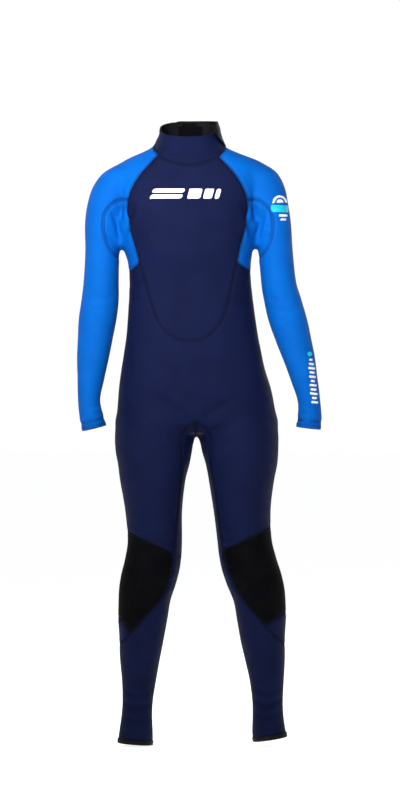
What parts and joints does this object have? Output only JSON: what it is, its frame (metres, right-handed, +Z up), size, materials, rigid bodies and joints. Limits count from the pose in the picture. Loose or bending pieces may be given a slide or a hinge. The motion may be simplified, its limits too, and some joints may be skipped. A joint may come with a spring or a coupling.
{
  "type": "full wetsuit",
  "caption": "Child's full-length neoprene wetsuit with blue raglan sleeves, navy body, black knee pads, a back zip and a hook-and-loop neck closure, filled out as worn.",
  "frame": {"origin": "centre of the neck opening at the collar seam, where the wearer's neck fills and carries the suit", "axes": "+Z up along the standing wearer, +Y out of the wearer's back, +X to the wearer's left"},
  "size_m": [0.4149, 0.17, 1.0641],
  "materials": {
    "navy_jersey": "four-way stretch knit on foam rubber",
    "blue_jersey": "four-way stretch knit on foam rubber",
    "black_jersey": "hard-wearing textured knit on foam rubber",
    "black_rubber": "matte",
    "hook_and_loop": "hook and pile",
    "zip_tape": "close woven",
    "zip_nylon": "moulded",
    "zip_metal": "plated"
  },
  "bodies": {
    "suit": {"collar": "navy_jersey", "chest_panel": "navy_jersey", "front_body_panel": "navy_jersey", "back_panel_right": "navy_jersey", "back_panel_left": "navy_jersey", "seat_and_leg_panel_right": "navy_jersey", "seat_and_leg_panel_left": "navy_jersey", "inner_leg_panel_right": "navy_jersey", "inner_leg_panel_left": "navy_jersey", "sleeve_right": "blue_jersey", "sleeve_left": "blue_jersey", "underarm_panel_right": "blue_jersey", "underarm_panel_left": "blue_jersey", "wrist_cuff_right": "blue_jersey", "wrist_cuff_left": "blue_jersey", "knee_pad_right": "black_jersey", "ankle_hem_right": "black_rubber", "zip_tape_right": "zip_tape", "zip_teeth_right": "zip_nylon", "zip_top_stop_right": "zip_metal", "knee_pad_left": "black_jersey", "ankle_hem_left": "black_rubber", "zip_tape_left": "zip_tape", "zip_teeth_left": "zip_nylon", "zip_top_stop_left": "zip_metal", "zip_bottom_stop": "zip_metal", "zip_end_patch": "black_jersey", "zip_backing_flap": "black_jersey", "closure_loop_patch": "hook_and_loop"},
    "zip_slider": {"zip_slider": "zip_metal"},
    "zip_pull": {"zip_pull_tab": "zip_metal"},
    "neck_tab": {"neck_closure_tab": "black_rubber", "closure_hook_patch": "hook_and_loop"}
  },
  "joints": [
    {"name": "zip_travel", "type": "hinge", "parent": "suit", "child": "zip_slider", "pos_m": [0, -0.812, -0.195], "axis": [-1, 0, 0], "range_deg": [0, 18.3]},
    {"name": "pull_tab_swing", "type": "hinge", "parent": "zip_slider", "child": "zip_pull", "pos_m": [0, 0.07145, -0.00335], "axis": [1, 0, 0], "range_deg": [0, 170]},
    {"name": "neck_tab_peel", "type": "hinge", "parent": "suit", "child": "neck_tab", "pos_m": [-0.03019, 0.05392, 0.034], "axis": [0.0692, -0.2424, 0.9677], "range_deg": [0, 100]}
  ]
}
